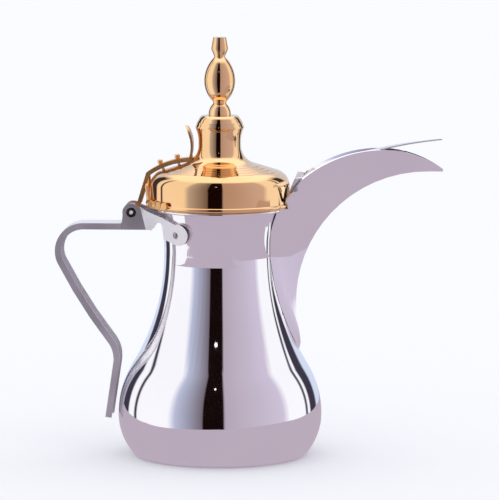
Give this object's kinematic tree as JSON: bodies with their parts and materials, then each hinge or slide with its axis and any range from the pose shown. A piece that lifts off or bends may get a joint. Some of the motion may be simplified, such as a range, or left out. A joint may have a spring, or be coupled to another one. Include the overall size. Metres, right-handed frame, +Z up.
{
  "type": "dallah coffee pot",
  "caption": "Pear-bodied metal coffee pot with a crescent beak spout, strap handle and hinged domed lid with a tall finial and thumb lever.",
  "frame": {"origin": "centre of the pot's flat underside, on the body's axis", "axes": "+Z up along the body's axis, +X toward the spout's beak, +Y away from the side seen with the spout on the right"},
  "size_m": [0.2761, 0.1456, 0.2991],
  "materials": {
    "mirror_steel": "mirror polish",
    "rivet_steel": "dull, headed by hammer",
    "polished_gold": "mirror polish",
    "gold_rivets": "polished",
    "inner_brass": "satin",
    "inner_steel": "satin"
  },
  "bodies": {
    "pot": {"body_shell": "mirror_steel", "base_plate": "mirror_steel", "spout_channel": "mirror_steel", "spout_bridge": "mirror_steel", "spout_leaf": "mirror_steel", "cheek_near": "mirror_steel", "cheek_far": "mirror_steel", "handle_strap": "mirror_steel", "strap_tongue": "mirror_steel", "bridge_rivets": "rivet_steel", "neck_rivets": "rivet_steel", "hinge_pin": "rivet_steel"},
    "lid": {"lid_dome": "polished_gold", "lid_collar": "polished_gold", "crown_cap": "polished_gold", "finial_bell": "polished_gold", "finial_bead": "polished_gold", "finial_tip": "polished_gold", "lever_arm": "polished_gold", "stay_rods": "polished_gold", "lid_stay": "polished_gold", "thumb_piece": "polished_gold", "stay_rivets": "gold_rivets", "arm_rivets": "gold_rivets", "lid_skirt": "inner_brass", "finial_rod": "inner_steel", "finial_washer": "inner_steel", "finial_nut": "inner_steel"}
  },
  "joints": [
    {"name": "lid_hinge", "type": "hinge", "parent": "pot", "child": "lid", "pos_m": [-0.0625, 0, 0.175], "axis": [0, -1, 0], "range_deg": [0, 100]}
  ]
}
